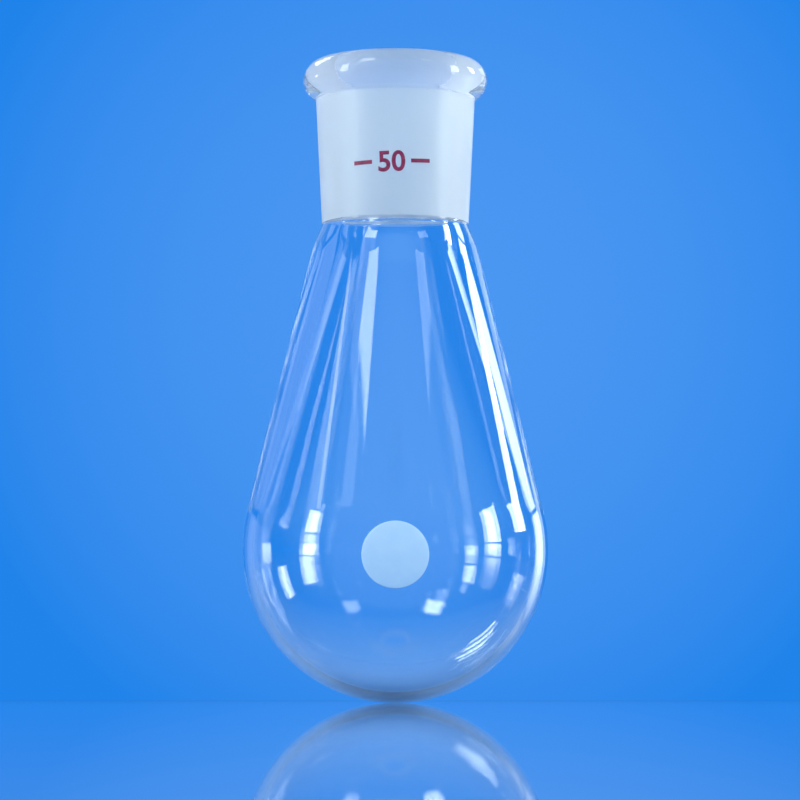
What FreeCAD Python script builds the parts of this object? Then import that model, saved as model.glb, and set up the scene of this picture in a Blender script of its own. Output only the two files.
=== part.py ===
"""Recovery flask: a pear-shaped glass flask, blown in one piece, with a tapered ground socket.

Millimetres. +Z runs up the flask's axis, and the origin is the lowest point of its round bottom.
The front, with the marking spot, faces -Y.
"""

import FreeCAD, Part
import math
import os

import Sketcher

# The driving dimensions: name, value, what it measures
SIZES = (
    ("total_height", 99.5, "lowest point of the bottom to the crown of the rim"),
    ("body_radius", 23.5, "outside of the round belly"),
    ("body_wall", 1.6, "glass of the belly; the flank thickens from it up to the socket"),
    ("joint_bore", 18.8, "diameter of the ground socket at its mouth"),
    ("joint_length", 26.0, "height of the ground zone"),
    ("joint_taper", 0.1, "change of the bore's diameter for each unit of height"),
    ("socket_wall", 3.2, "glass around the ground zone, level across"),
    ("bead_radius", 3.1, "round section of the rim bead"),
    ("bead_inset", 1.8, "edge of the mouth to the centre of the bead, level across"),
    ("root_rise", 0.8, "end of the ground zone up to the neck root outside"),
    ("shoulder_step", 1.35, "how far the shoulder flares out below the neck root"),
    ("shoulder_drop", 3.1, "height of that flare"),
    ("bead_root_round", 0.4, "hollow corner under the bead"),
    ("mouth_round", 0.4, "fire-polished edge of the mouth"),
    ("neck_root_round", 1.0, "hollow corner where the tube meets the shoulder"),
    ("shoulder_round", 12.0, "where the flare turns into the flank"),
    ("throat_round", 1.5, "edge at the end of the ground zone"),
    ("spot_diameter", 10.0, "white enamel spot on the belly"),
    ("spot_drop", 1.7, "the belly's widest level down to the middle of the spot"),
    ("spot_thickness", 0.15, "fired enamel"),
)
GLASS_GRAMS_PER_MM3 = 2.23e-3
ENAMEL_GRAMS_PER_MM3 = 3.5e-3

# How a sketch numbers the points of a piece, its origin and its upright axis
START, END, CENTRE = range(1, 4)
ORIGIN, UPRIGHT_AXIS = (-1, START), (-2,)

# Share of a piece between its corner and the point that picks it for rounding
BESIDE_CORNER = 0.05

doc = FreeCAD.newDocument("recovery_flask")
sheet = doc.addObject("Spreadsheet::Sheet", "sizes")
for row, (name, value, meaning) in enumerate(SIZES, start=1):
    sheet.set(f"A{row}", name)
    sheet.set(f"B{row}", str(value))
    sheet.set(f"C{row}", meaning)
    sheet.setAlias(f"B{row}", name)
doc.recompute()


def size(name):
    return float(sheet.get(name))


def upright_sketch(body, name):
    """A sketch on the body's XZ plane, whose x is a radius and whose y is a height."""
    plane = next(f for f in body.Origin.OriginFeatures if f.Role == "XZ_Plane")
    sketch = body.newObject("Sketcher::SketchObject", name)
    sketch.AttachmentSupport = [(plane, "")]
    sketch.MapMode = "FlatFace"
    return sketch


def point(place):
    return FreeCAD.Vector(*place, 0)


def line(start, end):
    return Part.LineSegment(point(start), point(end))


def arc(centre, start, end):
    """Anticlockwise about centre, from the point start to the direction of end."""
    circle = Part.Circle(point(centre), FreeCAD.Vector(0, 0, 1), math.dist(centre, start))
    angles = [math.atan2(p[1] - centre[1], p[0] - centre[0]) for p in (start, end)]
    return Part.ArcOfCircle(circle, *angles)


def relate(sketch, kind, *references, value=None):
    """Constrain pieces, each (piece,), or their points, each (piece, point)."""
    numbers = [number for reference in references for number in reference]
    if value is not None:
        numbers.append(value)
    return sketch.addConstraint(Sketcher.Constraint(kind, *numbers))


def dimension(sketch, name, formula, kind, *references):
    """Add a dimension to the sketch and tie it to the sheet."""
    value = float(sketch.evalExpression(formula))
    index = relate(sketch, kind, *references, value=value)
    sketch.renameConstraint(index, name)
    sketch.setExpression(f"Constraints.{name}", formula)


def round_corner(sketch, first, second, rounding):
    """Round the corner between the end of one piece and the start of the next."""
    before, after = sketch.Geometry[first], sketch.Geometry[second]
    inset = BESIDE_CORNER * (before.LastParameter - before.FirstParameter)
    outset = BESIDE_CORNER * (after.LastParameter - after.FirstParameter)
    beside = (
        before.value(before.LastParameter - inset),
        after.value(after.FirstParameter + outset),
    )
    rounded = sketch.GeometryCount
    sketch.fillet(first, second, *beside, size(rounding), True, True)
    dimension(sketch, rounding, f"sizes.{rounding}", "Radius", (rounded,))


def revolve(body, sketch, name):
    turned = body.newObject("PartDesign::Revolution", name)
    turned.Profile = sketch
    turned.ReferenceAxis = (sketch, ["V_Axis"])
    turned.Angle = 360.0


def tangent_point(corner, centre, radius):
    """Where the line that runs down and out from the corner touches the circle."""
    reach = math.dist(corner, centre)
    above = math.atan2(corner[1] - centre[1], corner[0] - centre[0])
    angle = above - math.acos(radius / reach)
    return centre[0] + radius * math.cos(angle), centre[1] + radius * math.sin(angle)


def section_corners():
    """The sharp corners of the glass wall's section, as (radius, height)."""
    belly, wall = size("body_radius"), size("body_wall")
    bead, inset = size("bead_radius"), size("bead_inset")
    half_taper = size("joint_taper") / 2
    at = {"bottom": (0.0, 0.0), "inner_bottom": (0.0, wall), "belly_centre": (0.0, belly)}

    mouth_radius = size("joint_bore") / 2
    bead_x, bead_y = mouth_radius + inset, size("total_height") - bead
    mouth_y = bead_y + math.sqrt(bead**2 - inset**2)
    throat_x = mouth_radius - size("joint_length") * half_taper
    throat_y = mouth_y - size("joint_length")
    at.update(
        bead_centre=(bead_x, bead_y), mouth=(mouth_radius, mouth_y), throat=(throat_x, throat_y)
    )

    # The socket's outside runs parallel to its bore, from the neck root up into the bead
    rise = size("root_rise")
    root_x, root_y = throat_x + rise * half_taper + size("socket_wall"), throat_y + rise
    lean = math.atan(half_taper)
    along_x, along_y = math.sin(lean), math.cos(lean)
    nearest = (bead_x - root_x) * along_x + (bead_y - root_y) * along_y
    aside = (bead_x - root_x) * along_y - (bead_y - root_y) * along_x
    run = nearest - math.sqrt(bead**2 - aside**2)
    at["root"] = (root_x, root_y)
    at["bead_root"] = (root_x + run * along_x, root_y + run * along_y)

    # The flank runs straight down to the round belly, outside from the shoulder and inside from
    # the throat, so the wall thins on the way as it does when a heavy tube is blown out
    at["shoulder"] = (root_x + size("shoulder_step"), root_y - size("shoulder_drop"))
    at["tangent"] = tangent_point(at["shoulder"], at["belly_centre"], belly)
    at["inner_tangent"] = tangent_point(at["throat"], at["belly_centre"], belly - wall)
    return at


def draw_wall_section(body):
    """The closed section of the glass: up the outside, over the rim and down the inside."""
    sketch = upright_sketch(body, "wall_section")
    at = section_corners()
    belly, flank, flare, tube, bead, bore, inner_flank, inner_belly, axis = (
        sketch.addGeometry(piece, False)
        for piece in (
            arc(at["belly_centre"], at["bottom"], at["tangent"]),
            line(at["tangent"], at["shoulder"]),
            line(at["shoulder"], at["root"]),
            line(at["root"], at["bead_root"]),
            arc(at["bead_centre"], at["bead_root"], at["mouth"]),
            line(at["mouth"], at["throat"]),
            line(at["throat"], at["inner_tangent"]),
            arc(at["belly_centre"], at["inner_bottom"], at["inner_tangent"]),
            line(at["inner_bottom"], at["bottom"]),
        )
    )
    mouth = sketch.addGeometry(Part.Point(point(at["mouth"])), True)

    outline = (flank, flare, tube, bead, bore, inner_flank)
    for first, second in zip(outline, outline[1:]):
        relate(sketch, "Coincident", (first, END), (second, START))
    for relation in (
        ("Coincident", (belly, START), ORIGIN),
        ("PointOnObject", (belly, CENTRE), UPRIGHT_AXIS),
        ("Tangent", (belly, END), (flank, START)),
        ("PointOnObject", (mouth, START), (bead,)),
        ("PointOnObject", (mouth, START), (bore,)),
        ("Parallel", (tube,), (bore,)),
        ("Tangent", (inner_belly, END), (inner_flank, END)),
        ("Coincident", (inner_belly, CENTRE), (belly, CENTRE)),
        ("Coincident", (inner_belly, START), (axis, START)),
        ("PointOnObject", (axis, START), UPRIGHT_AXIS),
        ("Coincident", (axis, END), ORIGIN),
    ):
        relate(sketch, *relation)

    across, up = "DistanceX", "DistanceY"
    mouth_radius = "sizes.joint_bore / 2"
    half_taper = "sizes.joint_taper / 2"
    for name, formula, *kind_and_references in (
        ("belly_radius", "sizes.body_radius", "Radius", (belly,)),
        ("inner_radius", "sizes.body_radius - sizes.body_wall", "Radius", (inner_belly,)),
        ("bead_size", "sizes.bead_radius", "Radius", (bead,)),
        ("bead_out", f"{mouth_radius} + sizes.bead_inset", across, ORIGIN, (bead, CENTRE)),
        ("bead_up", "sizes.total_height - sizes.bead_radius", up, ORIGIN, (bead, CENTRE)),
        ("mouth_out", mouth_radius, across, ORIGIN, (mouth, START)),
        ("bore_lean", f"sizes.joint_length * {half_taper}", across, (bore, END), (mouth, START)),
        ("bore_up", "sizes.joint_length", up, (bore, END), (mouth, START)),
        (
            "root_out",
            f"sizes.socket_wall + sizes.root_rise * {half_taper}",
            across,
            (bore, END),
            (tube, START),
        ),
        ("root_up", "sizes.root_rise", up, (bore, END), (tube, START)),
        ("flare_out", "sizes.shoulder_step", across, (flare, END), (flare, START)),
        ("flare_up", "sizes.shoulder_drop", up, (flare, START), (flare, END)),
    ):
        dimension(sketch, name, formula, *kind_and_references)

    for first, second, rounding in (
        (tube, bead, "bead_root_round"),
        (bead, bore, "mouth_round"),
        (flare, tube, "neck_root_round"),
        (flank, flare, "shoulder_round"),
        (bore, inner_flank, "throat_round"),
    ):
        round_corner(sketch, first, second, rounding)
    return sketch


def build_flask():
    body = doc.addObject("PartDesign::Body", "flask")
    body.Label = "flask"
    revolve(body, draw_wall_section(body), "blown_wall")
    return body


def draw_spot_section(body):
    """Half of the spot's section, with the belly's centre as its origin and the spot on top."""
    sketch = upright_sketch(body, "spot_section")
    under, over = size("body_radius"), size("body_radius") + size("spot_thickness")
    spread = math.asin(size("spot_diameter") / 2 / under)
    inner_edge, outer_edge = (
        (radius * math.sin(spread), radius * math.cos(spread)) for radius in (under, over)
    )
    back, axis, face, rim = (
        sketch.addGeometry(piece, False)
        for piece in (
            arc((0.0, 0.0), inner_edge, (0.0, under)),
            line((0.0, under), (0.0, over)),
            arc((0.0, 0.0), outer_edge, (0.0, over)),
            line(outer_edge, inner_edge),
        )
    )
    for relation in (
        ("Coincident", (back, CENTRE), ORIGIN),
        ("Coincident", (face, CENTRE), ORIGIN),
        ("Coincident", (back, END), (axis, START)),
        ("Coincident", (face, END), (axis, END)),
        ("Coincident", (face, START), (rim, START)),
        ("Coincident", (back, START), (rim, END)),
        ("PointOnObject", (axis, START), UPRIGHT_AXIS),
        ("PointOnObject", (axis, END), UPRIGHT_AXIS),
        ("PointOnObject", ORIGIN, (rim,)),
    ):
        relate(sketch, *relation)
    for name, formula, *kind_and_references in (
        ("back_radius", "sizes.body_radius", "Radius", (back,)),
        ("face_radius", "sizes.body_radius + sizes.spot_thickness", "Radius", (face,)),
        ("half_width", "sizes.spot_diameter / 2", "DistanceX", ORIGIN, (back, START)),
    ):
        dimension(sketch, name, formula, *kind_and_references)
    return sketch


def build_marking_spot():
    """A round cap of enamel on the belly. It is turned upright, then laid over to the front."""
    body = doc.addObject("PartDesign::Body", "marking_spot")
    body.Label = "marking_spot"
    revolve(body, draw_spot_section(body), "enamel")
    to_front = FreeCAD.Rotation(FreeCAD.Vector(1, 0, 0), 90)
    body.Placement = FreeCAD.Placement(FreeCAD.Vector(0, 0, size("body_radius")), to_front)
    body.setExpression("Placement.Base.z", "sizes.body_radius")
    body.setExpression("Placement.Rotation.Angle", "acos(-sizes.spot_drop / sizes.body_radius)")
    return body


densities = {build_flask(): GLASS_GRAMS_PER_MM3, build_marking_spot(): ENAMEL_GRAMS_PER_MM3}
doc.recompute()

for item in doc.Objects:
    if "Invalid" in item.State or "Error" in item.State:
        raise RuntimeError(f"{item.Name} failed: {item.State}")
    if item.TypeId == "Sketcher::SketchObject" and not item.FullyConstrained:
        raise RuntimeError(f"{item.Name} isn't fully constrained")
for body in densities:
    if body.Shape.isNull() or not body.Shape.isValid() or len(body.Shape.Solids) != 1:
        raise RuntimeError(f"{body.Label} isn't one valid solid")

os.makedirs("parts", exist_ok=True)
for body, density in densities.items():
    box = body.Shape.BoundBox
    print(
        f"{body.Label}: {box.XLength:.2f} x {box.YLength:.2f} x {box.ZLength:.2f} mm, "
        f"z {box.ZMin:.3f} to {box.ZMax:.3f}, {body.Shape.Volume:.1f} mm3, "
        f"{body.Shape.Volume * density:.2f} g"
    )
    body.Shape.exportStep(f"parts/{body.Label}.step")
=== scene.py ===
"""Recovery flask: clear blown glass with a ground socket, on a pale floor in soft studio light.

Metres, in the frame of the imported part: +Z runs up the flask's axis and the front faces -Y.
"""

import cmath
import math

import bmesh
import bpy
from mathutils import Matrix, Vector


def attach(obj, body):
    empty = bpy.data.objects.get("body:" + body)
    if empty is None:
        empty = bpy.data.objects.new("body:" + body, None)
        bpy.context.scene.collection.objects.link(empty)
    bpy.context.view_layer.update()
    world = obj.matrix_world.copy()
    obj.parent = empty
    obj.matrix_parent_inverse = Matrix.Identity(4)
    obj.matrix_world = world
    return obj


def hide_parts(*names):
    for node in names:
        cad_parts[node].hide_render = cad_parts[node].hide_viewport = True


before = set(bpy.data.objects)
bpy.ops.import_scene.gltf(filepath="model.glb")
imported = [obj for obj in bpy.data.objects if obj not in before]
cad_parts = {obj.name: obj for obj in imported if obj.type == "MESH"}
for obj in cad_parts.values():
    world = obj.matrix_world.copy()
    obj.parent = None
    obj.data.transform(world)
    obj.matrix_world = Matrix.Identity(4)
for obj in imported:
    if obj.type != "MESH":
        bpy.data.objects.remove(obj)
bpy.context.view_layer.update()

MM = 0.001

# The driving sizes in millimetres, by their names in the part's source
TOTAL_HEIGHT, BODY_RADIUS, BODY_WALL = 99.5, 23.5, 1.6
JOINT_BORE, JOINT_LENGTH, JOINT_TAPER, SOCKET_WALL = 18.8, 26.0, 0.1, 3.2
BEAD_RADIUS, BEAD_INSET = 3.1, 1.8
ROOT_RISE, SHOULDER_STEP, SHOULDER_DROP = 0.8, 1.35, 3.1
BEAD_ROOT_ROUND, MOUTH_ROUND, THROAT_ROUND = 0.4, 0.4, 1.5
NECK_ROOT_ROUND, SHOULDER_ROUND = 1.0, 12.0
SPOT_DIAMETER, SPOT_DROP, SPOT_THICKNESS = 10.0, 1.7, 0.15

# The corners of the wall's section, as radius + height * 1j
HALF_TAPER = JOINT_TAPER / 2
BOTTOM, BELLY_CENTRE = 0j, BODY_RADIUS * 1j
BEAD_CENTRE = complex(JOINT_BORE / 2 + BEAD_INSET, TOTAL_HEIGHT - BEAD_RADIUS)
MOUTH = complex(JOINT_BORE / 2, BEAD_CENTRE.imag + math.sqrt(BEAD_RADIUS**2 - BEAD_INSET**2))
THROAT = MOUTH - JOINT_LENGTH * complex(HALF_TAPER, 1)
ROOT = THROAT + SOCKET_WALL + ROOT_RISE * complex(HALF_TAPER, 1)
SHOULDER = ROOT + complex(SHOULDER_STEP, -SHOULDER_DROP)

# The glass's finishes in their order on the mesh, and how finely it is turned and divided
CLEAR, GROUND, SATIN = range(3)
SEGMENTS = 256
STRAIGHT_STEP, TURN_STEP, BELLY_TURN_STEP = 1.2, math.radians(8.0), math.radians(2.0)
LEAST_STEPS, LEAST_TURNS = 2, 5
# A radius below this is a point on the axis
ON_AXIS = 1e-6

# The enamel spot's sloping edge is this many thicknesses wide. Its rows of points run inwards:
# on the edge as shares of its width and of the thickness, and on the face as shares of its reach.
SPOT_SEGMENTS, SPOT_EDGE = 128, 1.5
SPOT_EDGE_ROWS = (0.0, 0.0), (0.1, 0.6), (0.5, 0.93), (1.0, 1.0)
SPOT_FACE_ROWS = 0.85, 0.7, 0.5, 0.3, 0.15

# The print: two digits between two bars, cut into upright strips. All in millimetres, but for
# the boldness, a share of the font's size.
DIGITS, DIGIT_HEIGHT, DIGIT_BOLDNESS, DIGIT_CURVE_STEPS = "50", 3.2, 0.022, 8
MARK_HEIGHT, MARK_CENTRE, MARK_SLOPE = 82.1, -0.6, math.radians(1.5)
BAR_START, BAR_END, BAR_HALF_HEIGHT = 0.9, 3.9, 0.3
STRIP_WIDTH, CUT_TOLERANCE = 0.3, 1e-5
MARK_LIFT, FILM_THICKNESS = 0.03, 0.025

# The refractive indices, which set how much of the surroundings a surface mirrors
GLASS_INDEX, GLAZE_INDEX, FLOOR_INDEX = 1.473, 1.5, 1.2

# The lamps, in degrees and metres. Azimuth 0 is the camera's side and 90 the right. Low and high
# are the heights of a lamp's edges above the floor. A square metre at strength 1 has LAMP_WATTS.
LAMP_COLOR = (0.92, 1.0, 0.93)
LAMP_WATTS = 4.0
LAMP_DISTANCE, FILL_DISTANCE = 2.5, 2.6
LAMPS = (
    # name, azimuth, width, low, high, strength
    ("window_left_low", -66.5, 0.45, 0.0, 0.14, 11.0),
    ("window_left_middle", -66.5, 0.45, 0.14, 0.40, 5.0),
    ("window_left", -66.5, 0.45, 0.46, 1.10, 11.0),
    ("window_left_top", -64.5, 0.16, 1.15, 1.52, 4.0),
    ("window_right_low", 79.5, 0.55, 0.0, 0.155, 11.0),
    ("window_right", 79.5, 0.55, 0.195, 1.08, 11.0),
    ("high_left_low", -45.0, 0.50, 1.50, 2.05, 1.4),
    ("high_left", -42.0, 0.85, 2.10, 3.10, 9.0),
    ("high_right", 47.0, 0.70, 2.10, 2.90, 3.0),
    ("strip_right", 112.0, 0.42, 0.40, 1.12, 11.0),
    ("glow_right", 146.0, 0.80, 0.60, 1.05, 1.0),
    ("glow_right_low", 146.0, 0.80, 0.0, 0.50, 0.9),
    ("glow_left", -138.0, 1.30, 0.60, 1.60, 0.09),
    ("glow_left_edge", -158.0, 0.40, 0.60, 1.00, 0.14),
    ("bar_left", -133.0, 0.12, 1.40, 2.40, 9.0),
    ("bar_middle", -141.0, 0.12, 1.40, 2.40, 12.0),
    ("bar_right", -149.0, 0.12, 1.40, 2.40, 9.0),
    ("strip_left", -115.0, 0.25, 0.0, 0.18, 4.0),
    ("edge_left", -135.0, 2.00, 0.0, 0.45, 0.12),
)
FILL_LAMP = ("fill", 0.0, 7.0, 0.0, 3.0, 0.22)
FLOOR_SIZE = 8.0

# The camera stands at the floor's level and looks up a little
CAMERA_DISTANCE, CAMERA_HEIGHT, CAMERA_YAW = 0.550, 0.0005, math.radians(-0.075)
FOCAL_PIXELS, PICTURE_PIXELS, CONTACT_LINE = 3575, 800, 703
SENSOR_WIDTH, NEAREST_SEEN = 36.0, 0.01

# Light goes round many times inside the thick rim before it leaves
ALL_BOUNCES, GLASS_BOUNCES = 80, 64


def material(name, color, **settings):
    """A Principled material and its nodes, links and shader."""
    made = bpy.data.materials.new(name)
    made.use_nodes = True
    nodes, links = made.node_tree.nodes, made.node_tree.links
    shader = nodes["Principled BSDF"]
    shader.inputs["Base Color"].default_value = (*color, 1.0)
    for socket, value in settings.items():
        shader.inputs[socket.replace("_", " ")].default_value = value
    return made, nodes, links, shader


def noise(nodes, links, scale, stretch=(1.0, 1.0, 1.0), detail=3.0):
    """Noise in the piece's own metres, its scale multiplied along x, y and z."""
    coordinates = nodes.new("ShaderNodeTexCoord")
    mapping = nodes.new("ShaderNodeMapping")
    mapping.inputs["Scale"].default_value = stretch
    texture = nodes.new("ShaderNodeTexNoise")
    texture.inputs["Scale"].default_value = scale
    texture.inputs["Detail"].default_value = detail
    links.new(coordinates.outputs["Object"], mapping.inputs["Vector"])
    links.new(mapping.outputs["Vector"], texture.inputs["Vector"])
    return texture.outputs["Fac"]


def remap(nodes, links, value, low, high, start=0.3, stop=0.7):
    """A value from start to stop becomes low to high. Noise stays mostly between 0.3 and 0.7."""
    mapped = nodes.new("ShaderNodeMapRange")
    mapped.inputs["From Min"].default_value = start
    mapped.inputs["From Max"].default_value = stop
    mapped.inputs["To Min"].default_value = low
    mapped.inputs["To Max"].default_value = high
    links.new(value, mapped.inputs["Value"])
    return mapped.outputs["Result"]


def bump(nodes, links, shader, height, strength, distance):
    """Relief on the shader's surface, its distance in metres."""
    raised = nodes.new("ShaderNodeBump")
    raised.inputs["Strength"].default_value = strength
    raised.inputs["Distance"].default_value = distance
    links.new(height, raised.inputs["Height"])
    links.new(raised.outputs["Normal"], shader.inputs["Normal"])


def mix_colors(nodes, links, factor, first, second):
    """The first colour where the factor is 0, the second where it is 1."""
    mixed = nodes.new("ShaderNodeMix")
    mixed.data_type = "RGBA"
    mixed.inputs["A"].default_value = (*first, 1.0)
    mixed.inputs["B"].default_value = (*second, 1.0)
    links.new(factor, mixed.inputs["Factor"])
    return mixed.outputs["Result"]


def combine(nodes, links, operation, first, second):
    """A Math node on two values. The second may be a plain number."""
    combined = nodes.new("ShaderNodeMath")
    combined.operation = operation
    links.new(first, combined.inputs[0])
    if isinstance(second, float):
        combined.inputs[1].default_value = second
    else:
        links.new(second, combined.inputs[1])
    return combined.outputs[0]


def clear_glass():
    """Fire-polished borosilicate glass, drawn a little along the axis as it was blown."""
    made, nodes, links, shader = material(
        "clear_glass",
        (0.975, 0.990, 0.995),
        Roughness=0.03,
        IOR=GLASS_INDEX,
        Transmission_Weight=1.0,
    )
    drawn = noise(nodes, links, scale=160.0, stretch=(1.0, 1.0, 0.18), detail=2.0)
    bump(nodes, links, shader, drawn, strength=0.12, distance=0.00004)
    return made


def satin_glass():
    """The socket's outside, a little matt from handling."""
    made, nodes, links, shader = material(
        "satin_glass", (0.93, 0.98, 1.0), IOR=GLASS_INDEX, Transmission_Weight=0.64
    )
    handled = noise(nodes, links, scale=400.0, stretch=(1.0, 1.0, 0.3))
    links.new(remap(nodes, links, handled, low=0.34, high=0.44), shader.inputs["Roughness"])
    bump(nodes, links, shader, handled, strength=0.2, distance=0.00003)
    return made


def ground_glass():
    """The socket's ground bore, milky from fine grinding round the axis."""
    made, nodes, links, shader = material(
        "ground_glass", (0.94, 0.975, 0.99), IOR=GLASS_INDEX, Transmission_Weight=0.55
    )
    grinding = noise(nodes, links, scale=500.0, stretch=(1.0, 1.0, 6.0))
    links.new(remap(nodes, links, grinding, low=0.90, high=1.0), shader.inputs["Roughness"])
    bump(nodes, links, shader, grinding, strength=0.35, distance=0.00006)
    return made


def enamel():
    """Fired white enamel, satin, a little uneven as it was dabbed on; its blue is painted light.
    """
    # Painted light: the blue in these colours stands for the blue backdrop's light on white
    # enamel
    made, nodes, links, shader = material("white_enamel", (0.55, 0.72, 0.90), IOR=GLAZE_INDEX)
    cloud = remap(nodes, links, noise(nodes, links, scale=260.0), low=0.0, high=1.0)
    # The two tints differ as the dabbed enamel's uneven tone; both carry the painted blue light
    tint = mix_colors(nodes, links, cloud, (0.50, 0.74, 0.95), (0.58, 0.80, 0.97))
    links.new(tint, shader.inputs["Base Color"])
    grain = noise(nodes, links, scale=2600.0)
    links.new(remap(nodes, links, grain, low=0.38, high=0.52), shader.inputs["Roughness"])
    bump(nodes, links, shader, grain, strength=0.3, distance=0.00003)
    return made


def print_ink():
    """Red ceramic ink, fired on, with a slightly worn film."""
    made, nodes, links, shader = material("red_ink", (0.30, 0.012, 0.055), IOR=GLAZE_INDEX)
    wear = noise(nodes, links, scale=1500.0)
    worn = remap(nodes, links, wear, low=0.0, high=1.0)
    tint = mix_colors(nodes, links, worn, (0.25, 0.008, 0.05), (0.40, 0.03, 0.09))
    links.new(tint, shader.inputs["Base Color"])
    links.new(remap(nodes, links, wear, low=0.35, high=0.55), shader.inputs["Roughness"])
    return made


def heading(start, end):
    return (end - start) / abs(end - start)


def tangent_point(corner, radius):
    """Where the line that runs down and out from the corner touches the belly's circle."""
    reach, above = cmath.polar(corner - BELLY_CENTRE)
    return BELLY_CENTRE + cmath.rect(radius, above - math.acos(radius / reach))


def rounded(corner, before, after, radius):
    """Start, end and centre of a corner's rounding, from the headings before and after it."""
    turn = cmath.phase(after / before)
    reach = radius * math.tan(abs(turn) / 2)
    start = corner - before * reach
    return start, corner + after * reach, start + 1j * before * math.copysign(radius, turn)


def rounded_at_bead(start, along, radius):
    """End on the line, end on the bead and centre of the rounding between the two. The line
    heads along from its start, and a negative radius puts the rounding on its right."""
    reach = BEAD_RADIUS - radius
    beside = (start + 1j * along * radius - BEAD_CENTRE) / along
    half_chord = math.sqrt(reach**2 - beside.imag**2)
    run = min(-beside.real - half_chord, -beside.real + half_chord, key=abs)
    out = (beside + run) * along
    return start + run * along, BEAD_CENTRE + out * BEAD_RADIUS / reach, BEAD_CENTRE + out


def wall_section():
    """The glass wall's section, up the outside, over the rim and down the inside. Each run is
    its end, the centre of its arc or None where it is straight, and its finish."""
    up = heading(0, complex(HALF_TAPER, 1))
    tangent = tangent_point(SHOULDER, BODY_RADIUS)
    inner_tangent = tangent_point(THROAT, BODY_RADIUS - BODY_WALL)
    flare = heading(SHOULDER, ROOT)
    inner_flank = heading(THROAT, inner_tangent)
    flare_start, flare_end, flare_centre = rounded(
        SHOULDER, heading(tangent, SHOULDER), flare, SHOULDER_ROUND
    )
    root_start, root_end, root_centre = rounded(ROOT, flare, up, NECK_ROOT_ROUND)
    tube_end, bead_start, hollow_centre = rounded_at_bead(ROOT, up, -BEAD_ROOT_ROUND)
    bore_start, bead_end, mouth_centre = rounded_at_bead(MOUTH, -up, MOUTH_ROUND)
    throat_start, throat_end, throat_centre = rounded(THROAT, -up, inner_flank, THROAT_ROUND)
    return (
        (tangent, BELLY_CENTRE, CLEAR),
        (flare_start, None, CLEAR),
        (flare_end, flare_centre, CLEAR),
        (root_start, None, CLEAR),
        (root_end, root_centre, CLEAR),
        (tube_end, None, SATIN),
        (bead_start, hollow_centre, CLEAR),
        (BEAD_CENTRE + BEAD_RADIUS, BEAD_CENTRE, CLEAR),
        (BEAD_CENTRE + BEAD_RADIUS * 1j, BEAD_CENTRE, CLEAR),
        (bead_end, BEAD_CENTRE, CLEAR),
        (bore_start, mouth_centre, CLEAR),
        (throat_start, None, GROUND),
        (throat_end, throat_centre, CLEAR),
        (inner_tangent, None, CLEAR),
        (BODY_WALL * 1j, BELLY_CENTRE, CLEAR),
    )


def run_points(start, end, centre):
    """Points along one run, without its start."""
    if centre is None:
        count = max(LEAST_STEPS, round(abs(end - start) / STRAIGHT_STEP))
        return [start + (end - start) * i / count for i in range(1, count + 1)]
    sweep = cmath.phase((end - centre) / (start - centre))
    turn_step = BELLY_TURN_STEP if centre == BELLY_CENTRE else TURN_STEP
    count = max(LEAST_TURNS, round(abs(sweep) / turn_step))
    turned = [cmath.rect(1, sweep * i / count) for i in range(1, count + 1)]
    return [centre + (start - centre) * turn for turn in turned]


def mesh_object(name, points, faces, slots, face_slots=None):
    """A smooth object from points in millimetres."""
    mesh = bpy.data.meshes.new(name)
    mesh.from_pydata([Vector(p) * MM for p in points], [], faces)
    for slot in slots:
        mesh.materials.append(slot)
    if face_slots:
        mesh.polygons.foreach_set("material_index", face_slots)
    mesh.shade_smooth()
    mesh.validate()
    made = bpy.data.objects.new(name, mesh)
    bpy.context.collection.objects.link(made)
    return made


def blown_flask():
    """The section turned about the axis."""
    path, finishes = [BOTTOM], []
    for end, centre, finish in wall_section():
        added = run_points(path[-1], end, centre)
        path += added
        finishes += [finish] * len(added)

    points, rings = [], []
    for place in path:
        if place.real < ON_AXIS:
            rings.append([len(points)])
            points.append((0.0, 0.0, place.imag))
            continue
        rings.append(range(len(points), len(points) + SEGMENTS))
        for step in range(SEGMENTS):
            out = cmath.rect(place.real, 2 * math.pi * step / SEGMENTS)
            points.append((out.real, out.imag, place.imag))

    faces, face_slots = [], []
    for lower, upper, finish in zip(rings, rings[1:], finishes):
        for step in range(SEGMENTS):
            after = (step + 1) % SEGMENTS
            if len(lower) == 1:
                face = (lower[0], upper[after], upper[step])
            elif len(upper) == 1:
                face = (lower[step], lower[after], upper[0])
            else:
                face = (lower[step], lower[after], upper[after], upper[step])
            faces.append(face)
            face_slots.append(finish)
    slots = clear_glass(), ground_glass(), satin_glass()
    return mesh_object("blown_glass", points, faces, slots, face_slots)


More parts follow.
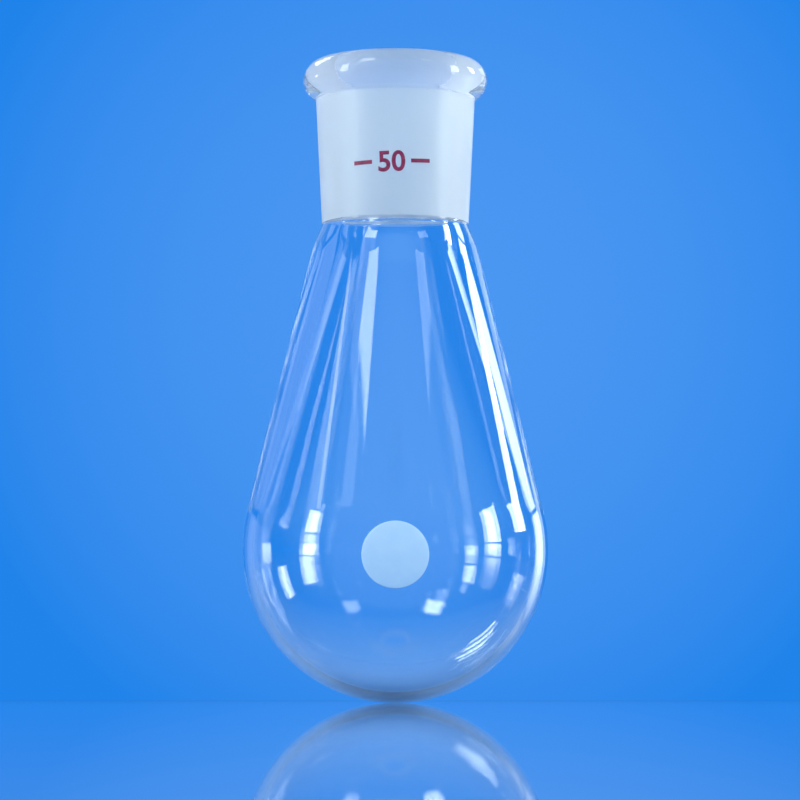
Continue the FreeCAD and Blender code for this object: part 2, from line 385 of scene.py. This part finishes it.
def enamel_spot():
    """A thin round cap on the belly with a soft edge, made facing up and tilted to the front."""
    points, faces = [], []
    to_front = Matrix.Rotation(math.acos(-SPOT_DROP / BODY_RADIUS), 3, "X")
    belly_centre = Vector((0, 0, BODY_RADIUS))
    reach = math.asin(SPOT_DIAMETER / 2 / BODY_RADIUS)
    edge = SPOT_THICKNESS * SPOT_EDGE / BODY_RADIUS
    rows = [(reach - edge * inwards, height) for inwards, height in SPOT_EDGE_ROWS]
    rows += [((reach - edge) * share, 1.0) for share in SPOT_FACE_ROWS]
    for angle_out, height in rows:
        radius = BODY_RADIUS + SPOT_THICKNESS * height
        across, up = radius * math.sin(angle_out), radius * math.cos(angle_out)
        for step in range(SPOT_SEGMENTS):
            turn = 2 * math.pi * step / SPOT_SEGMENTS
            place = Vector((across * math.cos(turn), across * math.sin(turn), up))
            points.append(to_front @ place + belly_centre)
    points.append(to_front @ Vector((0, 0, BODY_RADIUS + SPOT_THICKNESS)) + belly_centre)

    for row in range(len(rows)):
        outer, inner = row * SPOT_SEGMENTS, (row + 1) * SPOT_SEGMENTS
        for step in range(SPOT_SEGMENTS):
            after = (step + 1) % SPOT_SEGMENTS
            if row < len(rows) - 1:
                faces.append((outer + step, outer + after, inner + after, inner + step))
            else:
                faces.append((outer + step, outer + after, len(points) - 1))
    return mesh_object("enamel_spot", points, faces, (enamel(),))


def neck_mark():
    """A plain number between two short bars, printed on the socket and curved with it."""
    text = bpy.data.curves.new("digits", "FONT")
    text.body = DIGITS
    text.resolution_u = DIGIT_CURVE_STEPS
    text.offset = DIGIT_BOLDNESS
    text.align_x = "CENTER"
    shape = bmesh.new()
    shape.from_mesh(bpy.data.meshes.new_from_object(bpy.data.objects.new("digits", text)))
    bottom, top = (pick(v.co.y for v in shape.verts) for pick in (min, max))
    scale = DIGIT_HEIGHT / (top - bottom)
    for vertex in shape.verts:
        vertex.co = Vector((vertex.co.x, vertex.co.y - (bottom + top) / 2, 0)) * scale
    reach = max(v.co.x for v in shape.verts)
    for side in (-1, 1):
        near, far = side * (reach + BAR_START), side * (reach + BAR_END)
        low, high = -BAR_HALF_HEIGHT, BAR_HALF_HEIGHT
        corners = [(near, low), (far, low), (far, high), (near, high)]
        shape.faces.new([shape.verts.new((x, y, 0)) for x, y in corners[::side]])

    # Cut into upright strips, so that the print lies on the cone
    left, right = (pick(v.co.x for v in shape.verts) for pick in (min, max))
    strips = round((right - left) / STRIP_WIDTH)
    for strip in range(1, strips):
        bmesh.ops.bisect_plane(
            shape,
            geom=shape.verts[:] + shape.edges[:] + shape.faces[:],
            plane_co=(left + (right - left) * strip / strips, 0, 0),
            plane_no=(1, 0, 0),
            dist=CUT_TOLERANCE,
        )
    slope = Matrix.Rotation(MARK_SLOPE, 3, "Z")
    for vertex in shape.verts:
        across, up, _ = slope @ vertex.co
        height = MARK_HEIGHT + up
        radius = ROOT.real + (height - ROOT.imag) * HALF_TAPER + MARK_LIFT
        turn = (MARK_CENTRE + across) / radius
        vertex.co = Vector((radius * math.sin(turn), -radius * math.cos(turn), height)) * MM
    mesh = bpy.data.meshes.new("neck_mark")
    shape.to_mesh(mesh)
    shape.free()
    mesh.materials.append(print_ink())
    made = bpy.data.objects.new("neck_mark", mesh)
    bpy.context.collection.objects.link(made)
    film = made.modifiers.new("film", "SOLIDIFY")
    film.thickness, film.offset = FILM_THICKNESS * MM, -1.0
    return made


def softbox(name, azimuth, width, low, high, strength, distance=LAMP_DISTANCE):
    """An upright rectangular lamp that faces the flask."""
    lamp = bpy.data.lights.new(name, "AREA")
    lamp.shape, lamp.size, lamp.size_y = "RECTANGLE", width, high - low
    lamp.energy = strength * LAMP_WATTS * width * (high - low)
    lamp.color = LAMP_COLOR
    made = bpy.data.objects.new(name, lamp)
    turn = math.radians(azimuth)
    made.location = (math.sin(turn) * distance, -math.cos(turn) * distance, (low + high) / 2)
    made.rotation_euler = (math.pi / 2, 0, turn)
    made.visible_camera = False
    bpy.context.collection.objects.link(made)


def towards(nodes, links, direction):
    """How near the world's direction is to this one, as the cosine between them."""
    coordinates = nodes.new("ShaderNodeTexCoord")
    product = nodes.new("ShaderNodeVectorMath")
    product.operation = "DOT_PRODUCT"
    product.inputs[1].default_value = Vector(direction).normalized()
    links.new(coordinates.outputs["Generated"], product.inputs[0])
    return product.outputs["Value"]


def backdrop_color(nodes, links):
    """Blue, lighter behind the flask and deeper towards the corners."""
    behind = towards(nodes, links, (0.01, 1.0, 0.11))
    edge = math.cos(math.radians(8.0))
    near = remap(nodes, links, behind, low=0.0, high=1.0, start=edge, stop=1.0)
    return mix_colors(nodes, links, near, (0.014, 0.228, 0.82), (0.070, 0.310, 0.89))


def soft_light(nodes, links):
    """Pale light from all round, strongest from the left and the right."""
    sides = combine(nodes, links, "POWER", towards(nodes, links, (1.0, 0.0, 0.0)), 4.0)
    return mix_colors(nodes, links, sides, (0.08, 0.24, 0.44), (2.60, 2.40, 2.20))


def studio():
    """A pale floor, a plain blue backdrop and soft lamps on all sides."""
    bpy.ops.mesh.primitive_plane_add(size=FLOOR_SIZE, location=(0, 0, 0))
    floor = bpy.context.object
    floor.name = "floor"
    pale = material("pale_floor", (0.23, 0.40, 0.74), Roughness=0.015, IOR=FLOOR_INDEX)[0]
    floor.data.materials.append(pale)

    # Rays that bounced off a diffuse surface meet the soft light, and all others the backdrop
    world = bpy.data.worlds.new("studio")
    bpy.context.scene.world = world
    world.use_nodes = True
    nodes, links = world.node_tree.nodes, world.node_tree.links
    lit = nodes["Background"]
    links.new(soft_light(nodes, links), lit.inputs["Color"])
    seen = nodes.new("ShaderNodeBackground")
    links.new(backdrop_color(nodes, links), seen.inputs["Color"])
    rays = nodes.new("ShaderNodeLightPath").outputs
    clear = combine(nodes, links, "MAXIMUM", rays["Is Camera Ray"], rays["Is Glossy Ray"])
    clear = combine(nodes, links, "MAXIMUM", clear, rays["Is Transmission Ray"])
    unscattered = combine(nodes, links, "LESS_THAN", rays["Diffuse Depth"], 0.5)
    choose = nodes.new("ShaderNodeMixShader")
    straight = combine(nodes, links, "MULTIPLY", clear, unscattered)
    links.new(straight, choose.inputs["Fac"])
    links.new(lit.outputs[0], choose.inputs[1])
    links.new(seen.outputs[0], choose.inputs[2])
    links.new(choose.outputs[0], nodes["World Output"].inputs["Surface"])

    for lamp in LAMPS:
        softbox(*lamp)
    softbox(*FILL_LAMP, distance=FILL_DISTANCE)


def camera():
    """The photograph's view: the flask's lowest point falls on the photograph's contact line."""
    made = bpy.data.objects.new("camera", bpy.data.cameras.new("camera"))
    made.data.sensor_width = SENSOR_WIDTH
    made.data.lens = SENSOR_WIDTH * FOCAL_PIXELS / PICTURE_PIXELS
    made.data.clip_start = NEAREST_SEEN
    below = math.atan2(CAMERA_HEIGHT, CAMERA_DISTANCE)
    pitch = math.atan2(CONTACT_LINE - PICTURE_PIXELS / 2, FOCAL_PIXELS) - below
    made.location = (0, -CAMERA_DISTANCE, CAMERA_HEIGHT)
    made.rotation_euler = (math.pi / 2 + pitch, 0, CAMERA_YAW)
    bpy.context.collection.objects.link(made)
    bpy.context.scene.camera = made


glass = blown_flask()
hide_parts("flask")
spot = enamel_spot()
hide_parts("marking_spot")
mark = neck_mark()
for piece in (glass, spot, mark):
    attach(piece, "root")

studio()
camera()
bpy.context.scene.view_settings.view_transform = "Standard"
cycles = bpy.context.scene.cycles
cycles.max_bounces = ALL_BOUNCES
cycles.glossy_bounces, cycles.transmission_bounces = GLASS_BOUNCES, GLASS_BOUNCES
